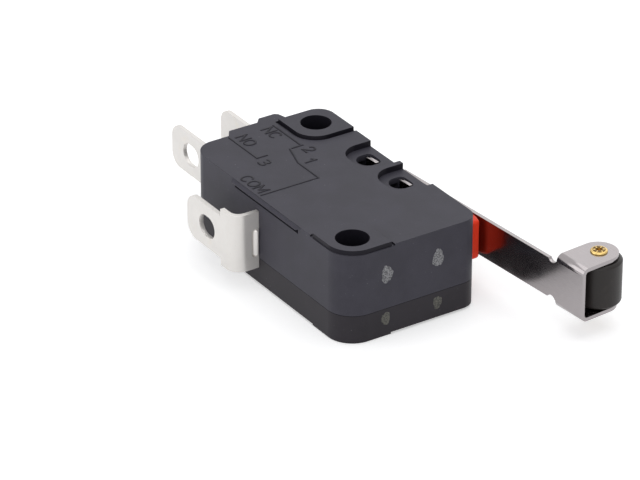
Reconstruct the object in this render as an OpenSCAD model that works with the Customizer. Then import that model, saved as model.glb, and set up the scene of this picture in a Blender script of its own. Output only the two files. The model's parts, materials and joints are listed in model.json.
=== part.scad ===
// Miniature snap-action switch with a hinged roller lever, in millimetres.
// Construction sizes run from the terminal end face (x), the common-terminal face (y) and the
// resting face (z); place() then puts the origin on the axis of the datum mounting hole.

/* [Housing] */
// Length of the moulded body, end face to end face
body_l = 27.8; // [27.4:0.1:29]
// Width of the body, common-terminal face to plunger face
body_w = 15.9; // [15.6:0.1:17]
// Thickness over the raised pads round the mounting holes
body_t = 10.3; // [10:0.1:11.5]
// Height of the raised pads on the case side
pad_step_top = 0.3; // [0.2:0.05:0.6]
// Height of the raised pads on the cover side
pad_step_bottom = 0.25; // [0.15:0.05:0.4]
// Height of the parting line between cover and case
split_z = 3.1; // [2.6:0.1:3.1]
// Thickness of the end walls
end_wall = 1.6; // [1.3:0.1:2]
// Thickness of the long side walls
side_wall = 1.4; // [1.2:0.1:1.6]
// Thickness of the broad wall of the case
case_floor = 1.3; // [1.15:0.05:1.5]
// Thickness of the broad wall of the cover
cover_floor = 1.25; // [1.15:0.05:1.4]
// Corner radius between terminal end and common-terminal face
corner_terminal = 2.3; // [1.5:0.1:3]
// Corner radius between terminal end and plunger face
corner_hole = 1.9; // [1.2:0.1:2.4]
// Corner radius between free end and plunger face
corner_plunger = 1.7; // [1:0.1:2.4]
// Corner radius between free end and common-terminal face
corner_datum = 2.9; // [1.5:0.1:3.2]

/* [Mounting holes] */
// Distance between the two holes along the body
hole_pitch_x = 22.2; // [21.8:0.1:22.6]
// Distance between the two holes across the body
hole_pitch_y = 10.3; // [10:0.1:10.6]
// Distance of the datum hole from the free end face and the common-terminal face
hole_edge = 2.8; // [2.7:0.05:3]
// Bore of the datum hole
datum_hole_d = 3.4; // [3.1:0.05:3.5]
// Bore of the second hole
second_hole_d = 3.2; // [3:0.05:3.4]
// Wall of the boss round each hole, inside the housing
boss_wall = 1.2; // [0.9:0.05:1.3]
// Reach of each raised pad along the body
pad_l = 5.7; // [5:0.1:6.5]
// Reach of each raised pad across the body
pad_w = 5.6; // [5:0.1:6]
// Set-back of each raised pad from the body's faces
pad_inset = 0.1; // [0.05:0.01:0.2]
// Width of the rebate round the inner sides of a marked-side pad
moat_w = 0.3; // [0.2:0.05:0.4]
// Depth of that rebate
moat_depth = 0.2; // [0.1:0.05:0.3]
// Corner radius of a raised pad
pad_r = 2.4; // [1:0.1:2.6]

/* [Terminal barriers] */
// Step of the first barrier beyond the terminal end face
barrier_low = 0.9; // [0.4:0.1:1.2]
// Step of the second barrier beyond the terminal end face
barrier_high = 1.6; // [1.3:0.1:2]
// Start of the first barrier, from the common-terminal face
barrier_low_y = 4.4; // [4.3:0.05:4.6]
// Start of the second barrier, from the common-terminal face
barrier_high_y = 8.4; // [7.8:0.1:8.8]
// End of the barriers, from the common-terminal face
barrier_end_y = 11.7; // [11.2:0.1:12]
// Slope run of each barrier edge
barrier_slope = 0.6; // [0.3:0.05:0.8]

/* [Edge lip over the common terminal] */
// Length of the lip at its top
lip_l = 13.1; // [10:0.1:14]
// Depth of the lip down the face
lip_h = 0.4; // [0.3:0.05:0.6]
// Amount the lip stands proud of the face
lip_out = 0.3; // [0.15:0.05:0.45]
// Run of the sloped ends of the lip
lip_slope = 0.8; // [0.4:0.1:1.2]
// Height and depth of the shadow groove under the lip
lip_groove = 0.5; // [0.3:0.05:0.6]

/* [Lever pockets] */
// Length of each open pocket along the body
pocket_l = 5.2; // [4.6:0.1:5.3]
// Reach of each pocket in from the plunger face
pocket_w = 4.1; // [3.6:0.1:4.4]
// Depth of the pockets
pocket_depth = 0.65; // [0.4:0.05:0.75]
// Corner radius of the pockets
pocket_r = 2.2; // [1:0.1:2.4]
// Length of the hook holes along the body
hook_hole_l = 2.35; // [2.2:0.05:3]
// Width of the hook holes, from the flat to the round side
hook_hole_w = 2.2; // [2:0.1:2.4]
// Corner radius of the hook holes at their flat
hook_hole_r = 0.6; // [0.3:0.1:0.7]
// Distance of the flat of the hook holes from the plunger face
hook_flat_edge = 0.9; // [0.8:0.05:1.1]

/* [Lever] */
// Thickness of the stainless strip
lever_t = 0.4; // [0.3:0.05:0.5]
// Height of the straight blade
blade_h = 4.3; // [3.8:0.1:4.5]
// Pivot of the lever from the terminal end face
pivot_x = 11; // [10.8:0.1:11.3]
// Distance between the hinge hook and the stop hook
hook_pitch = 5.8; // [5.7:0.05:6]
// Width of a hook
hook_w = 1.6; // [1.2:0.1:1.7]
// Distance of the blade's inner face from the pivot
blade_offset = 3.2; // [3:0.05:3.5]
// Tilt of the blade when the lever is free, in degrees
lever_tilt = 4.6; // [4:0.1:5]
// Travel of the lever, in degrees
lever_travel = 9; // [7:0.1:9]
// Distance of the roller axis from the pivot along the blade
roller_x = 26.65; // [24:0.1:32]
// Distance of the roller axis from the pivot, square to the blade
roller_y = 6.93; // [6.7:0.05:7.5]
// Outer height of the yoke
yoke_h = 5.9; // [5.8:0.1:6.2]
// Half width and end radius of the yoke's ears
ear_r = 1.95; // [1.6:0.05:2.15]
// Radius of the relief notches beside the yoke
relief_r = 0.65; // [0.4:0.05:0.9]
// Inner bend radius of the folded ears
bend_r = 0.35; // [0.2:0.05:0.5]

/* [Roller] */
// Diameter of the roller
roller_d = 4.75; // [4:0.05:5]
// Length of the roller
roller_l = 4.8; // [4.2:0.1:4.9]
// Shank diameter of the rivet that carries the roller
rivet_d = 1.2; // [1:0.05:1.4]
// Head diameter of the rivet
rivet_head_d = 1.75; // [1.6:0.05:2.2]
// Height of the rivet heads
rivet_head_h = 0.22; // [0.15:0.01:0.3]
// Bore through the hollow rivet
rivet_bore_d = 0.7; // [0.5:0.05:0.8]

/* [Plunger] */
// Length of the plunger along the body
plunger_l = 3.2; // [2.8:0.1:3.6]
// Height of the plunger
plunger_h = 4.3; // [3.8:0.1:4.4]
// Distance of the plunger from the free end face
plunger_edge = 5; // [4.8:0.1:5.4]
// Depth of the plunger's foot below the plunger face
plunger_depth = 4.6; // [4.4:0.05:4.8]
// Crown radius of the plunger's tip
crown_r = 4; // [3:0.1:6]
// Width of the stop flange at each side
flange_w = 0.7; // [0.5:0.05:0.8]
// Thickness of the stop flange
flange_t = 0.7; // [0.5:0.05:0.9]

/* [Terminals] */
// Thickness of the terminals
tab_t = 0.5; // [0.4:0.05:0.6]
// Width of the push-on tabs
tab_w = 4.75; // [4.4:0.05:4.8]
// Width of the common terminal where it leaves the housing
com_wide = 6.35; // [5.6:0.05:6.4]
// Reach of the tab tips beyond the terminal end face
tab_reach = 10; // [8:0.1:12]
// Distance of the common tab's tip from the terminal end face
com_tip_x = 3.75; // [3:0.05:5]
// Tip corner radius of the tabs
tab_r = 1.5; // [1:0.1:1.8]
// Distance of the tab holes from the tips
tab_hole_x = 3.7; // [3.4:0.1:4.2]
// Length of the tab holes
tab_hole_l = 2.9; // [2.4:0.1:3.2]
// Width of the tab holes
tab_hole_w = 2.35; // [1.8:0.05:2.4]
// Face of the normally open tab, from the common-terminal face
no_y = 3.7; // [3.6:0.05:3.8]
// Face of the normally closed tab, from the common-terminal face
nc_y = 9.65; // [9.5:0.05:9.7]
// Right-hand face of the common terminal's leg, from the terminal end face
com_leg_x = 12.5; // [12.2:0.1:12.8]
// Drop of the common tab below the common-terminal face
com_drop = 2.9; // [2.5:0.1:3.4]
// Length of the common tab's wide root beside its bend
com_root_l = 1.05; // [0.8:0.05:1.3]
// Outer bend radius of the common terminal
com_bend_r = 1.45; // [1.2:0.05:1.6]

/* [Mechanism] */
// Distance of the contacts from the terminal end face
contact_x = 5.7; // [5.4:0.1:6]
// Opening between the contacts
contact_gap = 1; // [0.8:0.05:1.05]
// Head diameter of the contact rivets
contact_d = 2.6; // [2.2:0.1:3]
// Head height of the contact rivets
contact_h = 0.5; // [0.4:0.05:0.55]
// Head height of the moving contact at each face
moving_h = 0.6; // [0.5:0.05:0.65]
// Thickness of the moving arm
arm_t = 0.3; // [0.2:0.05:0.35]
// Width of the moving arm
arm_w = 4; // [3.6:0.1:4.2]
// Knife edge of the moving arm, from the plunger's middle line
arm_pivot_set = 4.3; // [4:0.1:4.6]
// Height of the moving arm above the common-terminal face
arm_y = 7.15; // [7.1:0.05:7.2]
// Coil diameter of the snap spring
coil_d = 1.6; // [1.4:0.1:1.7]
// Wire diameter of the snap spring
wire_d = 0.26; // [0.2:0.02:0.3]
// Turns of the snap spring
coil_turns = 14; // [8:1:16]
// Length of the straight ends of the snap spring
coil_start = 1.6; // [1.2:0.1:2]
// Thickness of the actuating lever inside the housing
inner_t = 0.6; // [0.45:0.05:0.7]
// Height of the actuating lever's pivot above the common-terminal face
inner_pivot_y = 5; // [4.9:0.05:5.1]
// Spring hook of the actuating lever, from the plunger's middle line
inner_hook_set = 2.1; // [2:0.05:2.3]
// Spring hook of the actuating lever above the moving arm
inner_hook_rise = 0.85; // [0.7:0.05:0.9]
// Width of the actuating lever
inner_w = 1.7; // [1.4:0.1:1.8]
// Travel of the actuating lever, in degrees
inner_travel = 10.75; // [9:0.05:10.75]

/* [Hidden] */

// Clearance of fixed pieces in their slots, of moving pieces, and of running fits
seat = 0.04;
play = 0.15;
fit = 0.05;
// Overcut that takes a cut clear of a face
cut = 1;
// Overrun of a cut that stops at another form
skim = 0.02;
round_fn = 64;

mid_z = body_t / 2;
top_z = body_t - pad_step_top;
bottom_z = pad_step_bottom;
datum_x = body_l - hole_edge;
datum_y = hole_edge;
second_x = datum_x - hole_pitch_x;
second_y = datum_y + hole_pitch_y;
plunger_x = body_l - plunger_edge;
arm_pivot_x = plunger_x - arm_pivot_set;
cavity_top = top_z - case_floor;
cavity_bottom = bottom_z + cover_floor;

lip_x = (body_l - lip_l) / 2;
hook_flat_y = body_w - hook_flat_edge;
hook_inset = 0.25;
root2 = sqrt(2);
pivot_y = hook_flat_y - hook_inset - lever_t / 2;
hook_x = [pivot_x, pivot_x + hook_pitch];
// Length of a pocket left of the centre of its hook hole
pocket_lead = 2.35;

blade_start = -hook_w / 2 - 0.3;
yoke_x = roller_x - ear_r;
yoke_end = roller_x + ear_r;
ear_inset = 0.25;
hook_top = top_z - pocket_depth - 0.1;
// Set of the stop hook below the pivot line, so that its hole's flat stops the free lever
stop_drop = hook_pitch * tan(lever_tilt) - hook_inset / 2;
hooks = [[0, 0], [hook_pitch, stop_drop]];

// Where the blade crosses the plunger's middle line for a tilt a
function blade_y(a) = pivot_y + (blade_offset - crown_r) / cos(a) + (plunger_x - pivot_x) * tan(a);
crown_y = blade_y(lever_tilt) + crown_r - fit / 2;
plunger_travel = blade_y(lever_tilt) - blade_y(lever_tilt - lever_travel);
flange_y = body_w - side_wall - play / 2 - flange_t;
plunger_foot = body_w - plunger_depth;

moving_t = arm_t + 2 * moving_h;
nc_face = arm_y + moving_t / 2;
no_face = nc_face - moving_t - contact_gap;
nc_plate = nc_face + contact_h;
no_plate = no_face - contact_h - tab_t;
plate_end = contact_x + contact_d / 2 + 0.3;
jog_x = [end_wall + 0.3, end_wall + 1.6];
shank_d = contact_d / 2;

arm_travel = asin(contact_gap / (arm_pivot_x - contact_x + contact_d / 2));
arm_tip_x = contact_x - contact_d / 2 - 0.3;
window_x = [contact_x + contact_d / 2 + 0.7, arm_pivot_x + cut];
window_w = coil_d + 3 * play;
spring_hole_d = 2.5 * wire_d;
// Slack of the spring's far end, taken up as the actuating lever swings
spring_slack = 0.38;
// Length of the spring's bent-over ends
spring_hook_l = 0.5;

notch = 0.3;
rest = 0.03;
post_x = arm_pivot_x + (arm_t / 2 + rest) * root2 - notch;
frame_y = side_wall + seat;
frame_w = arm_w + 0.5;
tongue_notch = tab_t / 2;
tongue_w = inner_w - 0.1;
inner_pivot = [com_leg_x - tongue_notch + (inner_t / 2 + rest) * root2, inner_pivot_y];
hook_at = [plunger_x - inner_hook_set, arm_y + inner_hook_rise];
inner_pad = [plunger_x - inner_t, plunger_foot - fit - inner_t];
inner_knee = [hook_at[0] - inner_t, inner_pivot_y + inner_t];
inner_top = [hook_at[0] + inner_t / 3, inner_pad[1] - 1.25 * inner_t];
// Place of the spring's hole in the arm, from the edge of the arm's window
spring_hole_edge = 0.35;
spring_at = [window_x[0] - spring_hole_edge, arm_y];
spring_v = hook_at - spring_at;
spring_l = norm(spring_v);
spring_a = atan2(spring_v[1], spring_v[0]);

module place() {
    translate([-datum_x, -datum_y, 0]) children();
}

// Straight prism of a plan outline between two heights
module slab(z0, z1) {
    translate([0, 0, z0]) linear_extrude(z1 - z0) children();
}

// What a rounded corner leaves of a square one; q is the quadrant the corner points to
module corner_waste(x, y, r, q) {
    translate([x, y]) rotate(q * 90) difference() {
        translate([-r, -r]) square(r + cut);
        translate([-r, -r]) circle(r, $fn = round_fn);
    }
}

module body_2d() {
    difference() {
        square([body_l, body_w]);
        corner_waste(body_l, body_w, corner_plunger, 0);
        corner_waste(0, body_w, corner_hole, 1);
        corner_waste(0, 0, corner_terminal, 2);
        corner_waste(body_l, 0, corner_datum, 3);
    }
}

// Stepped barriers between the tabs, standing out of the terminal end face
module barrier_2d() {
    polygon([
        [end_wall, barrier_low_y], [0, barrier_low_y],
        [-barrier_low, barrier_low_y + barrier_slope], [-barrier_low, barrier_high_y],
        [-barrier_high, barrier_high_y + barrier_slope], [-barrier_high, barrier_end_y - 1.4 * barrier_slope],
        [barrier_slope / 2 - barrier_high, barrier_end_y - 0.8 * barrier_slope],
        [-barrier_slope / 2, barrier_end_y - 0.4 * barrier_slope], [0, barrier_end_y],
        [end_wall, barrier_end_y]
    ]);
}

module pads_2d(inset, grow = 0) {
    l = pad_l + grow;
    w = pad_w + grow;
    difference() {
        translate([inset, body_w - w]) square([l - inset, w - inset]);
        corner_waste(l, body_w - w, pad_r + grow, 3);
        corner_waste(inset, body_w - inset, corner_hole - inset, 1);
    }
    difference() {
        translate([body_l - l, inset]) square([l - inset, w - inset]);
        corner_waste(body_l - l, w, pad_r + grow, 1);
        corner_waste(body_l - inset, inset, corner_datum - inset, 3);
    }
}

// Rebate round the pads, open at the body's faces
module moat_2d() {
    difference() {
        pads_2d(-skim, moat_w);
        pads_2d(pad_inset);
    }
}

module holes_2d() {
    translate([datum_x, datum_y]) circle(d = datum_hole_d, $fn = round_fn);
    translate([second_x, second_y]) circle(d = second_hole_d, $fn = round_fn);
}

// The two bosses, run out square into their corners of the housing
module bosses_2d() {
    datum_r = datum_hole_d / 2 + boss_wall;
    second_r = second_hole_d / 2 + boss_wall;
    translate([datum_x, datum_y]) {
        circle(datum_r, $fn = round_fn);
        translate([0, -datum_r]) square([hole_edge, 2 * datum_r]);
        translate([-datum_r, -hole_edge]) square([2 * datum_r, hole_edge]);
    }
    translate([second_x, second_y]) {
        circle(second_r, $fn = round_fn);
        translate([-second_x, -second_r]) square([second_x, 2 * second_r]);
        translate([-second_r, 0]) square([2 * second_r, body_w - second_y]);
    }
}

module cavity_2d() {
    difference() {
        translate([end_wall, side_wall]) square([body_l - 2 * end_wall, body_w - 2 * side_wall]);
        bosses_2d();
    }
}

// Pocket open to the plunger face, with rounded inner corners
module pocket_2d(x) {
    y = body_w - pocket_w;
    translate([x - pocket_lead, y]) difference() {
        square([pocket_l, pocket_w + cut]);
        corner_waste(0, 0, pocket_r, 2);
        corner_waste(pocket_l, 0, pocket_r, 3);
    }
}

// Hook hole: flat towards the plunger face, round inside
module hook_hole_2d(x) {
    r = hook_hole_l / 2;
    translate([x, hook_flat_y - hook_hole_w + r]) {
        intersection() {
            circle(r, $fn = round_fn);
            translate([-r, -r]) square([2 * r, r]);
        }
        difference() {
            translate([-r, 0]) square([2 * r, hook_hole_w - r]);
            corner_waste(r, hook_hole_w - r, hook_hole_r, 0);
            corner_waste(-r, hook_hole_w - r, hook_hole_r, 1);
        }
    }
}

// Passage of a folded ear through the side wall
module ear_gate_2d(x) {
    w = hook_w + 4 * play;
    translate([x - w / 2 - play, body_w - side_wall - cut]) square([w + 2 * play, side_wall + 2 * cut]);
}

// What the terminals, the plunger and the lever take out of both shells
module passages() {
    slab(-cut, body_t + cut) holes_2d();
    for (x = hook_x) {
        slab(-cut, body_t + cut) hook_hole_2d(x);
        slab(mid_z - blade_h / 2 - play, mid_z + blade_h / 2 + play) ear_gate_2d(x);
    }
    for (y = [no_y, nc_y])
        translate([-barrier_high - cut, y - seat, mid_z - tab_w / 2 - seat])
            cube([barrier_high + end_wall + 2 * cut, tab_t + 2 * seat, tab_w + 2 * seat]);
    translate([com_leg_x - tab_t - seat, -cut, mid_z - com_wide / 2 - seat])
        cube([tab_t + 2 * seat, side_wall + 2 * cut, com_wide + 2 * seat]);
    translate([plunger_x - plunger_l / 2 - fit, body_w - side_wall - cut, mid_z - plunger_h / 2 - fit])
        cube([plunger_l + 2 * fit, side_wall + 2 * cut, plunger_h + 2 * fit]);
}

module lip() {
    z = top_z;
    intersection() {
        translate([lip_x, side_wall, 0]) rotate([90, 0, 0]) linear_extrude(side_wall + lip_out)
            polygon([
                [0, z], [lip_slope, z - lip_h], [lip_l - lip_slope, z - lip_h], [lip_l, z]
            ]);
        rotate([90, 0, 90]) linear_extrude(body_l)
            polygon([
                [side_wall, z - lip_h], [-lip_out, z - lip_h], [-lip_out, z - 0.8 * lip_h],
                [lip_out / 2, z], [side_wall, z]
            ]);
    }
}

module case() {
    color([0.21, 0.21, 0.24]) place() difference() {
        union() {
            slab(split_z, top_z) {
                body_2d();
                barrier_2d();
            }
            slab(top_z - cut, body_t) pads_2d(pad_inset);
            lip();
        }
        slab(split_z - cut, cavity_top) cavity_2d();
        slab(top_z - moat_depth, top_z + cut) moat_2d();
        for (x = hook_x) slab(top_z - pocket_depth, body_t + cut) pocket_2d(x);
        translate([lip_x + lip_slope, -cut, top_z - lip_h - lip_groove])
            cube([lip_l - 2 * lip_slope, cut + lip_groove, lip_groove]);
        passages();
    }
}

module cover() {
    color([0.19, 0.19, 0.22]) place() difference() {
        union() {
            slab(bottom_z, split_z) {
                body_2d();
                barrier_2d();
            }
            slab(0, bottom_z + cut) pads_2d(pad_inset);
        }
        slab(cavity_bottom, split_z + cut) cavity_2d();
        for (x = hook_x) slab(-cut, bottom_z + pocket_depth) pocket_2d(x);
        passages();
    }
}

// Plan of the plunger: stem with a crowned tip, and the stop flange inside the wall
module plunger_2d() {
    intersection() {
        translate([-plunger_l / 2, plunger_foot]) square([plunger_l, body_w]);
        translate([0, crown_y - crown_r]) circle(crown_r, $fn = 2 * round_fn);
        translate([-plunger_l / 2, 0]) square([plunger_l, crown_y + cut]);
    }
    translate([-plunger_l / 2, plunger_foot]) square([plunger_l, crown_y - 1 - plunger_foot]);
    translate([-plunger_l / 2 - flange_w, flange_y]) square([plunger_l + 2 * flange_w, flange_t]);
}

module plunger() {
    color([0.82, 0.2, 0.12]) place()
        slab(mid_z - plunger_h / 2, mid_z + plunger_h / 2) translate([plunger_x, 0]) plunger_2d();
}

module lever_frame() {
    translate([pivot_x, pivot_y, mid_z]) rotate([0, 0, lever_tilt]) children();
}

// Upright outline of the flat strip between its folds, in x and z of the lever
module blade_outline() {
    flat_h = yoke_h - 2 * (lever_t + bend_r);
    difference() {
        union() {
            translate([blade_start, -blade_h / 2]) square([yoke_end - blade_start, blade_h]);
            translate([yoke_x, -flat_h / 2]) square([2 * ear_r, flat_h]);
        }
        for (s = [-1, 1]) {
            translate([yoke_x - relief_r, s * (blade_h + relief_r) / 2]) circle(relief_r, $fn = round_fn);
            // The hooks' folds take the place of the strip's edges
            for (h = hooks)
                translate([h[0] - hook_w / 2, s * (blade_h / 2 - ear_inset) - lever_t - bend_r])
                    square([hook_w, 2 * (lever_t + bend_r)]);
        }
    }
}

// Fold: quarter bend from the strip's plane into an ear; r is its inner radius
module fold(w, r) {
    rotate([90, 0, 90]) linear_extrude(w) intersection() {
        difference() {
            circle(r + lever_t, $fn = round_fn);
            circle(r, $fn = round_fn);
        }
        translate([-r - lever_t, 0]) square(r + lever_t);
    }
}

// One side of the lever above its middle: yoke ear, hinge hook and stop hook
module lever_side() {
    ear_top = yoke_h / 2;
    ear_y = blade_offset + lever_t + bend_r;
    hook_z = blade_h / 2 - ear_inset;
    hook_y = blade_offset - bend_r;
    translate([yoke_x, ear_y, ear_top - lever_t - bend_r]) fold(2 * ear_r, bend_r);
    translate([0, 0, ear_top - lever_t]) linear_extrude(lever_t) {
        translate([yoke_x, ear_y]) square([2 * ear_r, roller_y - ear_y]);
        translate([roller_x, roller_y]) circle(ear_r, $fn = round_fn);
    }
    for (h = hooks) translate([h[0] - hook_w / 2, 0, 0]) {
        foot = -h[1] - lever_t / 2;
        translate([0, hook_y, hook_z - lever_t - bend_r]) mirror([0, 1, 0]) fold(hook_w, bend_r);
        translate([0, foot, hook_z - lever_t]) cube([hook_w, hook_y - foot, lever_t]);
        translate([0, foot, hook_z - lever_t]) cube([hook_w, lever_t, hook_top - mid_z - hook_z + lever_t]);
    }
}

module lever() {
    color([0.78, 0.78, 0.8]) place() lever_frame() difference() {
        union() {
            translate([0, blade_offset + lever_t, 0]) rotate([90, 0, 0])
                linear_extrude(lever_t) blade_outline();
            lever_side();
            mirror([0, 0, 1]) lever_side();
        }
        translate([roller_x, roller_y, -yoke_h]) cylinder(d = rivet_d, h = 2 * yoke_h, $fn = round_fn);
    }
}

module roller() {
    edge = 0.25;
    color([0.1, 0.1, 0.11]) place() lever_frame() translate([roller_x, roller_y, 0])
        rotate_extrude($fn = 2 * round_fn) polygon([
            [rivet_d / 2 + fit, -roller_l / 2], [roller_d / 2 - edge, -roller_l / 2],
            [roller_d / 2, -roller_l / 2 + edge], [roller_d / 2, roller_l / 2 - edge],
            [roller_d / 2 - edge, roller_l / 2], [rivet_d / 2 + fit, roller_l / 2]
        ]);
}

module roller_rivet() {
    z = yoke_h / 2;
    r = rivet_head_d / 2;
    color([0.83, 0.66, 0.25]) place() lever_frame() translate([roller_x, roller_y, 0])
        rotate_extrude($fn = round_fn) polygon([
            [rivet_bore_d / 2, -z - rivet_head_h], [r - rivet_head_h / 2, -z - rivet_head_h],
            [r, -z - rivet_head_h / 2], [r, -z], [rivet_d / 2, -z],
            [rivet_d / 2, z], [r, z], [r, z + rivet_head_h / 2],
            [r - rivet_head_h / 2, z + rivet_head_h], [rivet_bore_d / 2, z + rivet_head_h]
        ]);
}

// Tab outline seen square on, tip at the origin, running along +x and centred on z = 0
module tab_2d(l, w) {
    difference() {
        translate([0, -w / 2]) square([l, w]);
        corner_waste(0, w / 2, tab_r, 1);
        corner_waste(0, -w / 2, tab_r, 2);
        tab_hole_2d();
    }
}

module tab_hole_2d() {
    half = (tab_hole_l - tab_hole_w) / 2;
    translate([tab_hole_x, 0]) {
        for (s = [-1, 1]) translate([s * half, 0]) circle(d = tab_hole_w, $fn = round_fn);
        translate([-half, -tab_hole_w / 2]) square([2 * half, tab_hole_w]);
    }
}

// Tab plate with one face at height y of the plan, extruded through its thickness
module tab_plate(x, y, l, w) {
    translate([x, y + tab_t, mid_z]) rotate([90, 0, 0]) linear_extrude(tab_t) tab_2d(l, w);
}

// Side terminal: straight tab, jog inside the wall, and the plate that carries the contact
module side_terminal(y, plate_y) {
    difference() {
        union() {
            tab_plate(-tab_reach, y, tab_reach + jog_x[0], tab_w);
            slab(mid_z - tab_w / 2, mid_z + tab_w / 2) polygon([
                [jog_x[0], y], [jog_x[1], plate_y], [plate_end, plate_y],
                [plate_end, plate_y + tab_t], [jog_x[1], plate_y + tab_t], [jog_x[0], y + tab_t]
            ]);
        }
        translate([contact_x, plate_y - cut, mid_z]) rotate([-90, 0, 0])
            cylinder(d = shank_d + 2 * seat, h = tab_t + 2 * cut, $fn = round_fn);
    }
}

module no_terminal() {
    color([0.85, 0.84, 0.8]) place() side_terminal(no_y, no_plate);
}

module nc_terminal() {
    color([0.85, 0.84, 0.8]) place() side_terminal(nc_y, nc_plate);
}

// Contact rivet: head, shank through the plate and a low upset head behind it
module contact_rivet() {
    tail = 0.25;
    rotate_extrude($fn = round_fn) polygon([
        [0, -contact_h], [contact_d / 2 - 0.1, -contact_h], [contact_d / 2, -contact_h + 0.1],
        [contact_d / 2, 0], [shank_d / 2, 0], [shank_d / 2, tab_t],
        [shank_d / 2 + 0.3, tab_t], [shank_d / 2 + 0.2, tab_t + tail], [0, tab_t + tail]
    ]);
}

module no_contact() {
    color([0.9, 0.89, 0.86]) place() translate([contact_x, no_plate + tab_t, mid_z])
        rotate([90, 0, 0]) contact_rivet();
}

module nc_contact() {
    color([0.9, 0.89, 0.86]) place() translate([contact_x, nc_plate, mid_z])
        rotate([-90, 0, 0]) contact_rivet();
}

// Wide root of the common tab, with its bend, in plan
module com_bend_2d() {
    r = com_bend_r;
    translate([com_leg_x - r, -com_drop + r]) intersection() {
        difference() {
            circle(r, $fn = round_fn);
            circle(r - tab_t, $fn = round_fn);
        }
        translate([0, -r]) square(r);
    }
}

// Common terminal inside the housing: base, two posts for the arm and a tongue for the actuator
module com_frame() {
    tongue_top = inner_pivot_y + tab_t;
    leg_in = com_leg_x - tab_t;
    post_top = arm_y + 1.5 * tab_t;
    difference() {
        slab(mid_z - frame_w / 2, mid_z + frame_w / 2) {
            translate([leg_in, side_wall - seat]) square([tab_t, frame_y - side_wall + seat + tab_t]);
            translate([leg_in, frame_y]) square([post_x + tab_t - leg_in, tab_t]);
            translate([post_x, frame_y]) square([tab_t, post_top - frame_y]);
        }
        // Window that the tongue is cut from
        translate([com_leg_x, frame_y - cut, mid_z - tongue_w / 2 - play])
            cube([tongue_top - frame_y, 3 * cut, tongue_w + 2 * play]);
        // Passage for the actuating lever and the spring between the posts
        translate([post_x - cut, frame_y + 2 * tab_t, mid_z - inner_w / 2 - play])
            cube([tab_t + 2 * cut, body_w, inner_w + 2 * play]);
        // Knife-edge notch for the moving arm
        translate([post_x, arm_y, mid_z]) rotate([0, 0, 45])
            cube([notch * root2, notch * root2, body_t], center = true);
    }
    slab(mid_z - tongue_w / 2, mid_z + tongue_w / 2) difference() {
        translate([leg_in, frame_y]) square([tab_t, tongue_top - frame_y]);
        translate([com_leg_x, inner_pivot_y]) rotate(45) square(tongue_notch * root2, center = true);
    }
}

module com_terminal() {
    root_x = com_leg_x - com_bend_r - com_root_l;
    leg_y = -com_drop + com_bend_r;
    slot_w = 0.75;
    slot_h = 3.1;
    slot_set = 0.3;
    color([0.85, 0.84, 0.8]) place() {
        tab_plate(com_tip_x, -com_drop, root_x - com_tip_x + tab_t / 2, tab_w);
        com_frame();
        difference() {
            slab(mid_z - com_wide / 2, mid_z + com_wide / 2) {
                translate([root_x, -com_drop]) square([com_leg_x - com_bend_r - root_x, tab_t]);
                com_bend_2d();
                translate([com_leg_x - tab_t, leg_y]) square([tab_t, side_wall - leg_y]);
            }
            // Oval slot beside the housing
            translate([com_leg_x - 2 * tab_t, -slot_w / 2 - seat, mid_z - slot_set]) rotate([0, 90, 0])
                linear_extrude(3 * tab_t) {
                    translate([-(slot_h - slot_w) / 2, -slot_w / 2]) square([slot_h - slot_w, slot_w]);
                    for (s = [-1, 1]) translate([s * (slot_h - slot_w) / 2, 0])
                        circle(d = slot_w, $fn = round_fn);
                }
        }
    }
}

module moving_arm() {
    color([0.8, 0.5, 0.3]) place() difference() {
        union() {
            translate([arm_tip_x, arm_y - arm_t / 2, mid_z - arm_w / 2])
                cube([arm_pivot_x - arm_tip_x, arm_t, arm_w]);
            translate([arm_pivot_x, arm_y, mid_z - arm_w / 2]) cylinder(d = arm_t, h = arm_w, $fn = 32);
        }
        translate([window_x[0], arm_y - cut, mid_z - window_w / 2])
            cube([window_x[1] - window_x[0], 2 * cut, window_w]);
        translate([contact_x, arm_y - cut, mid_z]) rotate([-90, 0, 0])
            cylinder(d = shank_d + 2 * seat, h = 2 * cut, $fn = round_fn);
        translate([spring_at[0], arm_y - cut, mid_z]) rotate([-90, 0, 0])
            cylinder(d = spring_hole_d, h = 2 * cut, $fn = 32);
    }
}

module moving_contact() {
    color([0.9, 0.89, 0.86]) place() translate([contact_x, arm_y, mid_z]) rotate([-90, 0, 0])
        rotate_extrude($fn = round_fn) polygon([
            [0, -moving_t / 2 + seat], [contact_d / 2 - 0.1, -moving_t / 2 + seat],
            [contact_d / 2, -moving_t / 2 + seat + 0.1], [contact_d / 2, -arm_t / 2],
            [shank_d / 2, -arm_t / 2], [shank_d / 2, arm_t / 2],
            [contact_d / 2, arm_t / 2], [contact_d / 2, moving_t / 2 - seat - 0.1],
            [contact_d / 2 - 0.1, moving_t / 2 - seat], [0, moving_t / 2 - seat]
        ]);
}

// Point of the spring's coil at turn t of the whole; the first and last turns grow from the axis
function coil_point(t) =
    let (
        a = 360 * coil_turns * t,
        grow = min(1, t * coil_turns, (1 - t) * coil_turns),
        r = (coil_d - wire_d) / 2 * grow
    )
    [coil_start + (spring_l - 2 * coil_start) * t, r * cos(a), r * sin(a)];

// Part of vector u that is square to direction t, at unit length
function square_to(u, t) = let (w = u - (u * t) * t) w / norm(w);

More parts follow.
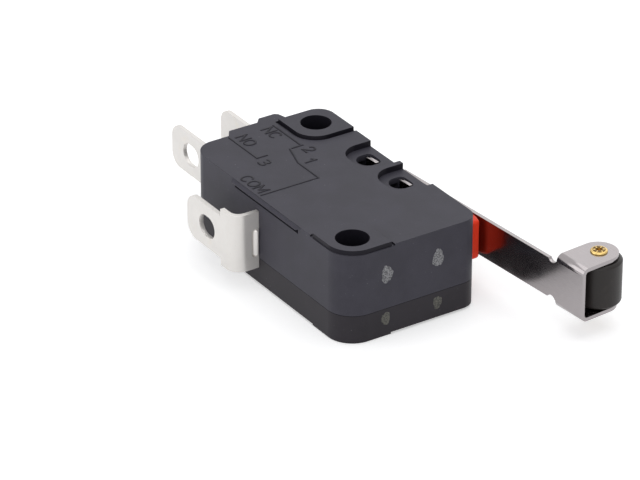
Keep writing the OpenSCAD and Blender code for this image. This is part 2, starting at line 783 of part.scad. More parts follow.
// Tube swept along a list of points, as one closed solid
module swept_wire(pts, r, sides) {
    n = len(pts);
    dirs = [for (i = [0:n - 1]) let (d = pts[min(n - 1, i + 1)] - pts[max(0, i - 1)]) d / norm(d)];
    ups = [
        for (i = 0, u = square_to([0, 0, 1], dirs[0]); i < n; i = i + 1, u = square_to(u, dirs[min(i, n - 1)]))
            u
    ];
    rings = [
        for (i = [0:n - 1]) for (k = [0:sides - 1])
            pts[i] + r * (cos(360 * k / sides) * ups[i] + sin(360 * k / sides) * cross(dirs[i], ups[i]))
    ];
    faces = [
        [for (k = [0:sides - 1]) k],
        for (i = [0:n - 2]) for (k = [0:sides - 1])
            let (a = i * sides + k, b = i * sides + (k + 1) % sides) [a, a + sides, b + sides, b],
        [for (k = [0:sides - 1]) n * sides - 1 - k]
    ];
    polyhedron(rings, faces);
}

module snap_spring() {
    steps = 12 * coil_turns;
    // The first end drops through the arm, the second passes through the actuating lever
    lift = arm_t / 2 + wire_d / 2 + seat;
    bend = wire_d / 2;
    reach = spring_l + inner_t / 2 + wire_d / 2 + spring_slack;
    color([0.7, 0.7, 0.72]) place() translate([spring_at[0], spring_at[1], mid_z]) rotate([0, 0, spring_a])
        swept_wire(
            [
                [0, -spring_hook_l, 0], [0, lift - bend, 0], [bend, lift, 0], [coil_start / 2, lift, 0],
                for (i = [0:steps]) coil_point(i / steps),
                [reach - bend, 0, 0], [reach, -bend, 0], [reach, -spring_hook_l, 0]
            ],
            wire_d / 2, 8
        );
}

// Bar of the given thickness between two points of the plan, with round ends
module bar_2d(a, b, t) {
    d = b - a;
    translate(a) rotate(atan2(d[1], d[0])) {
        translate([0, -t / 2]) square([norm(d), t]);
        circle(d = t, $fn = round_fn);
        translate([norm(d), 0]) circle(d = t, $fn = round_fn);
    }
}

module actuating_lever() {
    color([0.75, 0.75, 0.72]) place() difference() {
        slab(mid_z - inner_w / 2, mid_z + inner_w / 2) {
            bar_2d(inner_pivot, inner_knee, inner_t);
            bar_2d(inner_knee, hook_at, inner_t);
            bar_2d(hook_at, inner_top, inner_t);
            bar_2d(inner_top, inner_pad, inner_t);
            translate(inner_pad) circle(inner_t, $fn = round_fn);
        }
        translate([hook_at[0] - cut, hook_at[1], mid_z]) rotate([0, 90, 0])
            cylinder(d = spring_hole_d, h = 2 * cut, $fn = 32);
    }
}

case();
cover();
plunger();
lever();
roller();
roller_rivet();
com_terminal();
no_terminal();
nc_terminal();
no_contact();
nc_contact();
moving_arm();
moving_contact();
snap_spring();
actuating_lever();
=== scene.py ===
"""Dresses a snap-action switch with a roller lever: edge breaks, finishes, marks, lights and camera."""

import json
import logging
import math
from dataclasses import dataclass, field
from enum import Enum
from typing import Iterable, Optional, Sequence

import bmesh
import bpy
from mathutils import Matrix, Vector


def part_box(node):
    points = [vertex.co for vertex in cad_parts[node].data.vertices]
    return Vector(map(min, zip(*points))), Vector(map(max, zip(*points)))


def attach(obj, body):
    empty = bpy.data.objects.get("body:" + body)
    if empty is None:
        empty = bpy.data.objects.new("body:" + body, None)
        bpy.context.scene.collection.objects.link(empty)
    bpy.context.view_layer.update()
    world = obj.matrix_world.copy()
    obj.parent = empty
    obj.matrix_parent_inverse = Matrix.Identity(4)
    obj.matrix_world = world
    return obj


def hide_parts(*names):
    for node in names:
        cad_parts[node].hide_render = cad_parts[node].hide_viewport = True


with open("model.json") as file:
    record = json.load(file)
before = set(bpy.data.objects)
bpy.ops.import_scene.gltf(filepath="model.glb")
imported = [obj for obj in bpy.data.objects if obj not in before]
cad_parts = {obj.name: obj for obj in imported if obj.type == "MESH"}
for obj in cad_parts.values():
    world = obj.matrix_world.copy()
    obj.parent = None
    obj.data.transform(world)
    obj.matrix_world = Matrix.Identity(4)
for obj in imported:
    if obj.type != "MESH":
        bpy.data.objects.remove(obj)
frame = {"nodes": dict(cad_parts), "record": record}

log = logging.getLogger("switch")
MM = 0.001
Colour = tuple[float, float, float]


class Pattern(Enum):
    """Kinds of procedural pattern that a finish is made of."""

    CLOUD = "ShaderNodeTexNoise"
    CELLS = "ShaderNodeTexVoronoi"


class Body(Enum):
    """Bodies that carry a piece made here, as the record names them."""

    HOUSING = "housing"
    LEVER = "lever"
    ROLLER = "roller"
    PLUNGER = "plunger"


class Wire:
    """A shader socket that takes part in Python arithmetic."""

    def __init__(self, graph: "Graph", socket: bpy.types.NodeSocket) -> None:
        """Wraps one output socket.

        Args:
            graph: The graph that new nodes go into.
            socket: The socket that carries the value.
        """
        self.graph = graph
        self.socket = socket

    def _maths(self, operation: str, a: object, b: object = None, clamp: bool = False) -> "Wire":
        """Adds a Math node.

        Args:
            operation: Name of the node's operation.
            a: First value or wire.
            b: Second value or wire, where the operation has one.
            clamp: Whether the result is held between 0 and 1.

        Returns:
            The node's result.
        """
        values = {0: a} if b is None else {0: a, 1: b}
        return self.graph.node("ShaderNodeMath", {"operation": operation, "use_clamp": clamp}, values)

    def __add__(self, other: object) -> "Wire":
        """Sum."""
        return self._maths("ADD", self, other)

    __radd__ = __add__

    def __sub__(self, other: object) -> "Wire":
        """Difference."""
        return self._maths("SUBTRACT", self, other)

    def __rsub__(self, other: object) -> "Wire":
        """Reflected difference."""
        return self._maths("SUBTRACT", other, self)

    def __mul__(self, other: object) -> "Wire":
        """Product."""
        return self._maths("MULTIPLY", self, other)

    __rmul__ = __mul__

    def held(self) -> "Wire":
        """The value held between 0 and 1."""
        return self._maths("ADD", self, 0.0, True)

    def above(self, low: float, high: float) -> "Wire":
        """Smooth step.

        Args:
            low: Value at which the step begins.
            high: Value at which it is complete.

        Returns:
            0 below the step and 1 above it.
        """
        return self.graph.node(
            "ShaderNodeMapRange",
            {"interpolation_type": "SMOOTHSTEP", "clamp": True},
            {"Value": self, "From Min": low, "From Max": high, "To Min": 0.0, "To Max": 1.0},
        )


class Graph:
    """Node tree of one finish."""

    def __init__(self, name: str) -> None:
        """Starts a material with an empty tree.

        Args:
            name: Name of the material.
        """
        self.material = bpy.data.materials.new(name)
        self.material.use_nodes = True
        self.tree = self.material.node_tree
        self.tree.nodes.clear()
        self._place = None

    def node(
        self, kind: str, settings: Optional[dict] = None, inputs: Optional[dict] = None, out: object = 0
    ) -> Wire:
        """Adds one node.

        Args:
            kind: The node's type.
            settings: Its properties, which are set first.
            inputs: Values or wires for its sockets, by name or number.
            out: Name or number of the output that is returned.

        Returns:
            The chosen output.
        """
        made = self.tree.nodes.new(kind)
        for key, value in (settings or {}).items():
            setattr(made, key, value)
        for key, value in (inputs or {}).items():
            socket = made.inputs[key]
            if isinstance(value, Wire):
                self.tree.links.new(value.socket, socket)
            elif isinstance(value, tuple) and socket.type == "RGBA" and len(value) == 3:
                socket.default_value = (*value, 1.0)
            else:
                socket.default_value = value
        return Wire(self, made.outputs[out])

    def place(self) -> Wire:
        """The point on the piece, in metres, in the part's frame."""
        if self._place is None:
            self._place = self.node("ShaderNodeTexCoord", out="Object")
        return self._place

    def stretched(self, scale: Sequence[float]) -> Wire:
        """The point scaled along each axis.

        Args:
            scale: Factor along X, Y and Z.

        Returns:
            The scaled point.
        """
        return self.node("ShaderNodeMapping", {}, {"Vector": self.place(), "Scale": tuple(scale)})

    def cloud(
        self, size_mm: float, detail: float = 3.0, rough: float = 0.55, at: Optional[Wire] = None
    ) -> Wire:
        """Soft noise.

        Args:
            size_mm: Size of its blotches.
            detail: Number of octaves.
            rough: Strength of the finer octaves.
            at: Point it is read at, or the plain place.

        Returns:
            A value about 0.5.
        """
        point = at or self.place()
        return self.node(
            Pattern.CLOUD.value,
            {"noise_dimensions": "3D"},
            {"Vector": point, "Scale": 1 / (size_mm * MM), "Detail": detail, "Roughness": rough},
        )

    def specks(self, spacing_mm: float, width: float) -> Wire:
        """Scattered round specks.

        Args:
            spacing_mm: Distance between cell centres.
            width: Share of a cell that its speck fills.

        Returns:
            1 in a speck and 0 outside it.
        """
        near = self.node(
            Pattern.CELLS.value,
            {"voronoi_dimensions": "3D", "feature": "F1"},
            {"Vector": self.place(), "Scale": 1 / (spacing_mm * MM), "Randomness": 1.0},
            "Distance",
        )
        return 1 - near.above(width * 0.6, width)

    def mixed(self, factor: object, a: object, b: object) -> Wire:
        """Colour between two others.

        Args:
            factor: Share of the second colour.
            a: First colour, as a tuple or a wire.
            b: Second colour, as a tuple or a wire.

        Returns:
            The mixed colour.
        """
        made = self.tree.nodes.new("ShaderNodeMix")
        made.data_type = "RGBA"
        made.clamp_factor = True
        for index, value in ((0, factor), (6, a), (7, b)):
            if isinstance(value, Wire):
                self.tree.links.new(value.socket, made.inputs[index])
            else:
                made.inputs[index].default_value = (*value, 1.0) if isinstance(value, tuple) else value
        return Wire(self, made.outputs[2])

    def bumped(
        self, height: Wire, depth_um: float, strength: float = 1.0, onto: Optional[Wire] = None
    ) -> Wire:
        """Normal bent by a height.

        Args:
            height: Height from 0 to 1.
            depth_um: Depth of a full step, in micrometres.
            strength: Strength of the bend.
            onto: Normal that it adds to.

        Returns:
            The bent normal.
        """
        inputs: dict = {"Height": height, "Distance": depth_um * 1e-6, "Strength": strength}
        if onto is not None:
            inputs["Normal"] = onto
        return self.node("ShaderNodeBump", {}, inputs)

    def finish(self, **inputs: object) -> bpy.types.Material:
        """Closes the tree with a Principled shader.

        Args:
            **inputs: Values or wires for its sockets, with _ for a space.

        Returns:
            The finished material.
        """
        values = {key.replace("_", " "): value for key, value in inputs.items()}
        self.node_out(self.node("ShaderNodeBsdfPrincipled", {}, values))
        return self.material

    def node_out(self, shader: Wire) -> None:
        """Links a shader to the material's output."""
        out = self.tree.nodes.new("ShaderNodeOutputMaterial")
        self.tree.links.new(shader.socket, out.inputs["Surface"])


@dataclass(frozen=True)
class MouldedResin:
    """Glass-filled thermoplastic as it leaves the mould: fine satin, faint flow marks, a little dust."""

    name: str
    colour: Colour
    rough: float = 0.5
    flow: float = 0.12
    grain_um: float = 2.0
    dust: float = 0.25
    sheen: float = 0.15

    def make(self) -> bpy.types.Material:
        """Builds the material."""
        g = Graph(self.name)
        flow = g.cloud(5.0, 3.0, 0.6)
        fine = g.cloud(0.09, 2.0, 0.6)
        grit = g.specks(0.55, 0.13) * g.cloud(2.5).above(0.5, 0.75)
        dark = tuple(c * (1 - self.flow) for c in self.colour)
        light = tuple(c * (1 + self.flow) for c in self.colour)
        base = g.mixed(flow.above(0.3, 0.7), dark, light)
        base = g.mixed(fine.above(0.35, 0.75) * 0.18, base, tuple(c * 1.7 for c in self.colour))
        base = g.mixed(grit * self.dust, base, (0.35, 0.35, 0.36))
        rough = self.rough + (flow - 0.5) * 0.12 + (fine - 0.5) * 0.12
        normal = g.bumped(g.cloud(0.05, 2.0, 0.5), self.grain_um)
        normal = g.bumped(g.cloud(1.6, 2.0, 0.5), self.grain_um * 2.5, 0.5, normal)
        return g.finish(
            Base_Color=base, Roughness=rough.held(), Normal=normal, IOR=1.5, Specular_IOR_Level=self.sheen
        )


@dataclass(frozen=True)
class RolledStrip:
    """Bright rolled stainless strip: fine rolling lines along one axis and faint handling smudges."""

    name: str
    colour: Colour
    rough: float = 0.2
    along: tuple[float, float, float] = (1.0, 14.0, 14.0)
    line_um: float = 0.1
    smudge: float = 0.1

    def make(self) -> bpy.types.Material:
        """Builds the material."""
        g = Graph(self.name)
        lines = g.cloud(1.1, 4.0, 0.65, g.stretched(self.along))
        smear = g.cloud(2.4, 2.0, 0.5)
        nick = g.specks(0.7, 0.07)
        base = g.mixed(lines.above(0.3, 0.7) * 0.5, self.colour, tuple(c * 0.86 for c in self.colour))
        base = g.mixed(nick * 0.35, base, tuple(c * 0.5 for c in self.colour))
        rough = self.rough + (lines - 0.5) * 0.12 + (smear - 0.5) * self.smudge
        normal = g.bumped(lines, self.line_um * 4)
        normal = g.bumped(g.cloud(3.5, 1.0, 0.5), 4.0, 0.5, normal)
        return g.finish(Base_Color=base, Metallic=1.0, Roughness=rough.held(), Normal=normal)


@dataclass(frozen=True)
class TinPlate:
    """Dull tin over stamped brass: soft clouding, fine pits and a trace of warmth where it is thin."""

    name: str
    colour: Colour
    rough: float = 0.36
    metal: float = 0.42
    warm: float = 0.18
    pits: float = 0.3

    def make(self) -> bpy.types.Material:
        """Builds the material."""
        g = Graph(self.name)
        haze = g.cloud(1.3, 4.0, 0.6)
        frost = g.cloud(0.12, 3.0, 0.6)
        pit = g.specks(0.45, 0.09) * self.pits
        thin = g.cloud(2.2, 3.0, 0.6).above(0.55, 0.8) * self.warm
        base = g.mixed(haze.above(0.3, 0.7) * 0.35, self.colour, tuple(c * 0.9 for c in self.colour))
        base = g.mixed(thin, base, (0.80, 0.68, 0.46))
        base = g.mixed(pit, base, (0.3, 0.28, 0.26))
        rough = self.rough + (haze - 0.5) * 0.22 + (frost - 0.5) * 0.14
        normal = g.bumped(frost, 1.4)
        normal = g.bumped(haze, 5.0, 0.5, normal)
        return g.finish(Base_Color=base, Metallic=self.metal, Roughness=rough.held(), Normal=normal)


@dataclass(frozen=True)
class TurnedNylon:
    """Turned black nylon: fine tool lines round the axis and a worn band where the roller runs."""

    name: str
    colour: Colour
    rough: float = 0.42
    sheen: float = 0.32

    def make(self) -> bpy.types.Material:
        """Builds the material."""
        g = Graph(self.name)
        rings = g.cloud(1.0, 3.0, 0.6, g.stretched((0.3, 0.3, 22.0)))
        grain = g.cloud(0.07, 2.0, 0.5)
        wear = g.cloud(1.2, 3.0, 0.6).above(0.5, 0.75)
        base = g.mixed(wear * 0.4, self.colour, tuple(c * 2.2 for c in self.colour))
        base = g.mixed(rings.above(0.55, 0.8) * 0.3, base, tuple(c * 1.8 for c in self.colour))
        rough = self.rough + (rings - 0.5) * 0.2 + (grain - 0.5) * 0.1
        normal = g.bumped(rings, 4.0)
        normal = g.bumped(grain, 1.5, 0.6, normal)
        return g.finish(
            Base_Color=base, Roughness=rough.held(), Normal=normal, IOR=1.5, Specular_IOR_Level=self.sheen
        )


@dataclass(frozen=True)
class SoftMetal:
    """Small stamped or drawn metal piece with a fine satin grain and light tarnish."""

    name: str
    colour: Colour
    tarnish: Colour
    rough: float = 0.28
    grain_um: float = 1.2

    def make(self) -> bpy.types.Material:
        """Builds the material."""
        g = Graph(self.name)
        tint = g.cloud(0.9, 4.0, 0.65)
        grain = g.cloud(0.08, 3.0, 0.6)
        base = g.mixed(tint.above(0.45, 0.8) * 0.6, self.colour, self.tarnish)
        base = g.mixed(grain.above(0.5, 0.8) * 0.2, base, tuple(c * 0.8 for c in self.colour))
        rough = self.rough + (tint - 0.5) * 0.25 + (grain - 0.5) * 0.1
        return g.finish(
            Base_Color=base, Metallic=1.0, Roughness=rough.held(), Normal=g.bumped(grain, self.grain_um)
        )


@dataclass(frozen=True)
class GateScar:
    """Torn gate spot: pale, rough and broken up."""

    name: str
    colour: Colour
    dark: Colour

    def make(self) -> bpy.types.Material:
        """Builds the material."""
        g = Graph(self.name)
        torn = g.cloud(0.13, 4.0, 0.8)
        base = g.mixed(torn.above(0.38, 0.62), self.dark, self.colour)
        rough = 0.75 + (torn - 0.5) * 0.3
        return g.finish(Base_Color=base, Roughness=rough.held(), Normal=g.bumped(torn, 30.0), IOR=1.45)


@dataclass(frozen=True)
class MouldedMark:
    """Letters and lines of the mould: the body's resin with a darker, smoother skin."""

    name: str
    colour: Colour
    rough: float = 0.5
    sheen: float = 0.1

    def make(self) -> bpy.types.Material:
        """Builds the material."""
        g = Graph(self.name)
        skin = g.cloud(0.3, 3.0, 0.6)
        base = g.mixed(skin.above(0.4, 0.7) * 0.5, self.colour, tuple(c * 1.6 for c in self.colour))
        rough = self.rough + (skin - 0.5) * 0.2
        normal = g.bumped(skin, 3.0)
        return g.finish(
            Base_Color=base, Roughness=rough.held(), Normal=normal, IOR=1.5, Specular_IOR_Level=self.sheen
        )


@dataclass(frozen=True)
class Finishes:
    """Every finish of the switch."""

    case: MouldedResin = MouldedResin("case_resin", (0.049, 0.047, 0.060), 0.46)
    cover: MouldedResin = MouldedResin("cover_resin", (0.029, 0.026, 0.031), 0.46)
    # near-black parting-line edge break: painted shadow of the gap between case and cover
    seam: MouldedResin = MouldedResin("seam_shadow", (0.002, 0.002, 0.0022), 0.7, 0.1, 1.0, 0.0, 0.02)
    # darker colour for low walls and bores: painted shade and a painted dark reflection, on a slightly
    # smoother resin
    step: MouldedResin = MouldedResin("step_resin_painted_shade", (0.013, 0.012, 0.017), 0.4, 0.1, 1.0, 0.0, 0.1)
    plunger: MouldedResin = MouldedResin("red_resin", (0.86, 0.05, 0.018), 0.4, 0.06, 1.2, 0.0)
    lever: RolledStrip = RolledStrip("lever_strip", (0.35, 0.325, 0.33), 0.18)
    roller: TurnedNylon = TurnedNylon("roller_nylon", (0.0145, 0.0115, 0.0105))
    rivet: SoftMetal = SoftMetal("rivet_brass", (0.7, 0.5, 0.19), (0.42, 0.28, 0.1), 0.25)
    # dark ring under the crimp petals: painted shade in the folds of the crimp
    crease_shade: SoftMetal = SoftMetal("rivet_crease_painted_shade", (0.16, 0.1, 0.035), (0.07, 0.045, 0.02), 0.4)
    tin: TinPlate = TinPlate("terminal_tin", (0.79, 0.765, 0.735))
    silver: SoftMetal = SoftMetal("contact_silver", (0.9, 0.89, 0.86), (0.6, 0.56, 0.5), 0.3)
    copper: SoftMetal = SoftMetal("arm_copper", (0.8, 0.46, 0.28), (0.45, 0.24, 0.14), 0.3)
    spring: SoftMetal = SoftMetal("spring_wire", (0.62, 0.62, 0.64), (0.4, 0.4, 0.42), 0.25)
    steel: SoftMetal = SoftMetal("stamped_steel", (0.6, 0.6, 0.6), (0.42, 0.41, 0.4), 0.32)
    scar: GateScar = GateScar("gate_scar", (0.34, 0.34, 0.35), (0.06, 0.06, 0.068))
    scar_low: GateScar = GateScar("gate_scar_cover", (0.15, 0.145, 0.125), (0.04, 0.04, 0.038))
    mark: MouldedMark = MouldedMark("mark_skin", (0.022, 0.021, 0.027))


class Bench:
    """Shared mesh work: copies of solids, edge breaks, and turning built objects into plain meshes.

    Attributes:
        weld: Points nearer than this are one point, in metres.
        flat: Faces that meet at a smaller angle are one face, in degrees.
    """

    weld = 2e-7
    flat = 0.4

    def __init__(self) -> None:
        """Starts with no material made."""
        self._made: dict[str, bpy.types.Material] = {}

    def material(self, finish: object) -> bpy.types.Material:
        """The material of a finish, built once."""
        if finish.name not in self._made:
            self._made[finish.name] = finish.make()
        return self._made[finish.name]

    def dress(self, obj: bpy.types.Object, finish: object) -> bpy.types.Object:
        """Gives an object one material in all its slots."""
        mat = self.material(finish)
        if not obj.data.materials:
            obj.data.materials.append(mat)
        for i in range(len(obj.data.materials)):
            obj.data.materials[i] = mat
        return obj

    def link(self, name: str, mesh: bpy.types.Mesh) -> bpy.types.Object:
        """Puts a mesh into the scene as a new object."""
        obj = bpy.data.objects.new(name, mesh)
        bpy.context.scene.collection.objects.link(obj)
        return obj

    def baked(self, obj: bpy.types.Object) -> bpy.types.Object:
        """Turns an object with modifiers or curves into a plain mesh.

        Args:
            obj: The object, which is removed.

        Returns:
            A mesh object of the same name.
        """
        name = obj.name
        world = obj.matrix_world.copy()
        depsgraph = bpy.context.evaluated_depsgraph_get()
        mesh = bpy.data.meshes.new_from_object(obj.evaluated_get(depsgraph), depsgraph=depsgraph)
        mesh.transform(world)
        bpy.data.objects.remove(obj)
        mesh.name = name
        return self.link(name, mesh)

    def grow(self, obj: bpy.types.Object, tree: bpy.types.NodeTree, values: dict) -> bpy.types.Object:
        """Runs a geometry tree on an object and bakes the result.

        Args:
            obj: The object, which is replaced by a plain mesh.
            tree: The geometry tree.
            values: Value of each of its inputs, by the input's name.

        Returns:
            The mesh object.
        """
        modifier = obj.modifiers.new("form", "NODES")
        modifier.node_group = tree
        for socket in tree.interface.items_tree:
            if socket.in_out == "INPUT" and socket.name in values:
                modifier[socket.identifier] = values[socket.name]
        bpy.context.view_layer.update()
        return self.baked(obj)

    def smooth(self, obj: bpy.types.Object, angle: float) -> None:
        """Shades an object smooth, with hard edges above an angle.

        Args:
            obj: A mesh object.
            angle: Angle in degrees.
        """
        work = bmesh.new()
        work.from_mesh(obj.data)
        for f in work.faces:
            f.smooth = True
        for e in work.edges:
            e.smooth = len(e.link_faces) == 2 and e.calc_face_angle(0.0) < math.radians(angle)
        work.to_mesh(obj.data)
        work.free()

    def broken_edges(
        self, node: str, name: str, width_mm: float, segments: int = 2, angle: float = 28.0
    ) -> bpy.types.Object:
        """Copy of a solid with its sharp edges rounded.

        Args:
            node: Name of the solid.
            name: Name of the copy.
            width_mm: Width of the edge break.
            segments: Steps across it.
            angle: Edges sharper than this are broken.

        Returns:
            The copy, which stands for the solid.
        """
        mesh = frame["nodes"][node].data.copy()
        obj = self.link(name, mesh)
        work = bmesh.new()
        work.from_mesh(mesh)
        bmesh.ops.remove_doubles(work, verts=work.verts, dist=self.weld)
        bmesh.ops.dissolve_limit(
            work, angle_limit=math.radians(self.flat), verts=work.verts, edges=work.edges,
            use_dissolve_boundaries=False,
        )
        sharp = [
            e for e in work.edges
            if len(e.link_faces) == 2 and e.calc_face_angle(0.0) > math.radians(angle)
        ]
        bmesh.ops.bevel(
            work, geom=sharp, offset=width_mm * MM, offset_type="OFFSET", segments=segments, profile=0.5,
            affect="EDGES", clamp_overlap=True, miter_outer="ARC", miter_inner="SHARP",
        )
        work.to_mesh(mesh)
        work.free()
        self.smooth(obj, 40.0)
        weigh = obj.modifiers.new("weigh", "WEIGHTED_NORMAL")
        weigh.keep_sharp = True
        made = self.baked(obj)
        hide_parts(node)
        return made


def named_tree(name: str, inputs: dict[str, str]) -> tuple:
    """Geometry tree with nothing in it but its named inputs and its output.

    Args:
        name: Name of the tree.
        inputs: Kind of socket of each input beside the geometry, by the input's name.

    Returns:
        The tree, its input node and its output node.
    """
    tree = bpy.data.node_groups.new(name, "GeometryNodeTree")
    tree.interface.new_socket("Geometry", in_out="INPUT", socket_type="NodeSocketGeometry")
    for label, kind in inputs.items():
        tree.interface.new_socket(label, in_out="INPUT", socket_type=f"NodeSocket{kind}")
    tree.interface.new_socket("Geometry", in_out="OUTPUT", socket_type="NodeSocketGeometry")
    return tree, tree.nodes.new("NodeGroupInput"), tree.nodes.new("NodeGroupOutput")


@dataclass
class Marks:
    """Terminal names, numbers and contact diagram, in millimetres from the body's corner."""

    bench: Bench
    finishes: Finishes
    face_z: float
    corner: Vector
    line: float = 0.2
    stroke: float = 0.24
    height: float = 0.03
    sink: float = 0.005
    stagger: float = 0.003
    cap: float = 1.2
    gap: float = 0.3
    labels: tuple = (
        ("NC", 0.75, 7.85), ("NO", 0.75, 4.8), ("COM", 8.3, 0.45),
        ("2", 6.55, 9.05), ("1", 8.75, 7.8), ("3", 6.5, 3.75),
    )
    paths: tuple = (
        ((0.6, 9.4), (5.4, 9.4)),
        ((5.75, 9.55), (5.75, 8.35)),
        ((5.85, 8.0), (8.7, 7.12), (12.45, 7.1), (12.45, 0.35)),
        ((0.4, 4.2), (5.65, 4.2), (5.65, 5.35)),
    )

    @staticmethod
    def arc(x: float, y: float, rx: float, ry: float, start: float, end: float, steps: int = 14) -> tuple:
        """Points of an arc, with angles in degrees from +X."""
        turns = [math.radians(start + (end - start) * i / steps) for i in range(steps + 1)]
        return tuple((x + rx * math.cos(a), y + ry * math.sin(a)) for a in turns)

    def glyph(self, letter: str) -> tuple[float, list]:
        """Strokes of one letter, one cap height tall.

        Args:
            letter: The letter.

        Returns:
            Its width and its strokes, both as shares of the cap height.
        """
        arc = self.arc
        shapes = {
            "N": (0.72, [((0, 0), (0, 1)), ((0, 1), (0.72, 0)), ((0.72, 0), (0.72, 1))]),
            "C": (0.78, [arc(0.42, 0.5, 0.42, 0.5, 48, 312, 20)]),
            "O": (0.84, [arc(0.42, 0.5, 0.42, 0.5, 90, 270), arc(0.42, 0.5, 0.42, 0.5, 270, 450)]),
            "M": (0.86, [
                ((0, 0), (0, 1)), ((0, 1), (0.43, 0.3)), ((0.43, 0.3), (0.86, 1)), ((0.86, 1), (0.86, 0)),
            ]),
            "1": (0.3, [((0, 0.76), (0.3, 1)), ((0.3, 1), (0.3, 0))]),
            "2": (0.62, [arc(0.31, 0.7, 0.31, 0.3, 165, -35), ((0.56, 0.53), (0, 0)), ((0, 0), (0.62, 0))]),
            "3": (0.62, [arc(0.24, 0.76, 0.34, 0.24, 125, -90), arc(0.24, 0.26, 0.38, 0.26, 90, -125)]),
        }
        return shapes[letter]

    def stroke_tree(self) -> bpy.types.NodeTree:
        """Geometry tree that lays a flat bar of named width and height along every path.

        Returns:
            The tree.
        """
        inputs = {"Width": "Float", "Height": "Float", "Finish": "Material"}
        tree, start, end = named_tree("diagram_lines", inputs)
        add, link = tree.nodes.new, tree.links.new
        bar = add("GeometryNodeCurvePrimitiveQuadrilateral")
        sweep = add("GeometryNodeCurveToMesh")
        sweep.inputs["Fill Caps"].default_value = True
        paint, solid = add("GeometryNodeSetMaterial"), add("GeometryNodeRealizeInstances")
        link(start.outputs["Width"], bar.inputs["Width"])
        link(start.outputs["Height"], bar.inputs["Height"])
        link(start.outputs["Geometry"], sweep.inputs["Curve"])
        link(bar.outputs["Curve"], sweep.inputs["Profile Curve"])
        link(sweep.outputs["Mesh"], solid.inputs["Geometry"])
        link(solid.outputs["Geometry"], paint.inputs["Geometry"])
        link(start.outputs["Finish"], paint.inputs["Material"])
        link(paint.outputs["Geometry"], end.inputs["Geometry"])
        return tree

    def bars(self, path: Sequence, width: float) -> list[list[tuple[float, float]]]:
        """Splits a path at its sharp corners into bars that overlap there.

        Args:
            path: Points in millimetres.
            width: Width of a bar.

        Returns:
            Paths without a sharp corner, each run on by half a width.
        """
        runs, run = [], [path[0]]
        for i, point in enumerate(path[1:], 1):
            run.append(point)
            if i + 1 < len(path):
                a, b = Vector(point) - Vector(path[i - 1]), Vector(path[i + 1]) - Vector(point)
                if a.angle(b) > math.radians(30):
                    runs.append(run)
                    run = [point]
        runs.append(run)
        grown = []
        for run in runs:
            head = (Vector(run[0]) - Vector(run[1])).normalized() * width / 2
            tail = (Vector(run[-1]) - Vector(run[-2])).normalized() * width / 2
            grown.append([tuple(Vector(run[0]) + head), *run[1:-1], tuple(Vector(run[-1]) + tail)])
        return grown

    def laid(self, name: str, tree: bpy.types.NodeTree, paths: Iterable, width: float) -> bpy.types.Object:
        """Lays bars along paths on the marked face.

        Args:
            name: Name of the piece.
            tree: The geometry tree that makes the bars.
            paths: Paths in millimetres.
            width: Width of a bar.

        Returns:
            The piece.
        """
        curve = bpy.data.curves.new(name, "CURVE")
        curve.dimensions = "3D"
        z = self.face_z + (self.height / 2 - self.sink) * MM
        runs = [run for path in paths for run in self.bars(path, width)]
        for k, run in enumerate(runs):
            spline = curve.splines.new("POLY")
            spline.points.add(len(run) - 1)
            for point, (x, y) in zip(spline.points, run):
                lift = k % 3 * self.stagger * MM
                point.co = (self.corner.x + x * MM, self.corner.y + y * MM, z + lift, 1)
        obj = bpy.data.objects.new(name, curve)
        bpy.context.scene.collection.objects.link(obj)
        finish = self.bench.material(self.finishes.mark)
        values = {"Width": width * MM, "Height": self.height * MM, "Finish": finish}
        return self.bench.grow(obj, tree, values)

    def strokes(self) -> list:
        """Strokes of every label, in millimetres from the body's corner."""
        made = []
        for text, x, y in self.labels:
            for letter in text:
                width, shapes = self.glyph(letter)
                made += [[(x + u * self.cap, y + v * self.cap) for u, v in shape] for shape in shapes]
                x += width * self.cap + self.gap
        return made

    def build(self) -> list[bpy.types.Object]:
        """Builds both pieces and puts them on the housing."""
        tree = self.stroke_tree()
        made = [
            self.laid("contact_diagram", tree, self.paths, self.line),
            self.laid("terminal_letters", tree, self.strokes(), self.stroke),
        ]
        for obj in made:
            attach(obj, Body.HOUSING.value)
        return made


@dataclass(frozen=True)
class GateSpot:
    """Place and half sizes of a torn gate spot, in millimetres from the body's corner and resting face."""

    y: float
    z: float
    half_y: float
    half_z: float


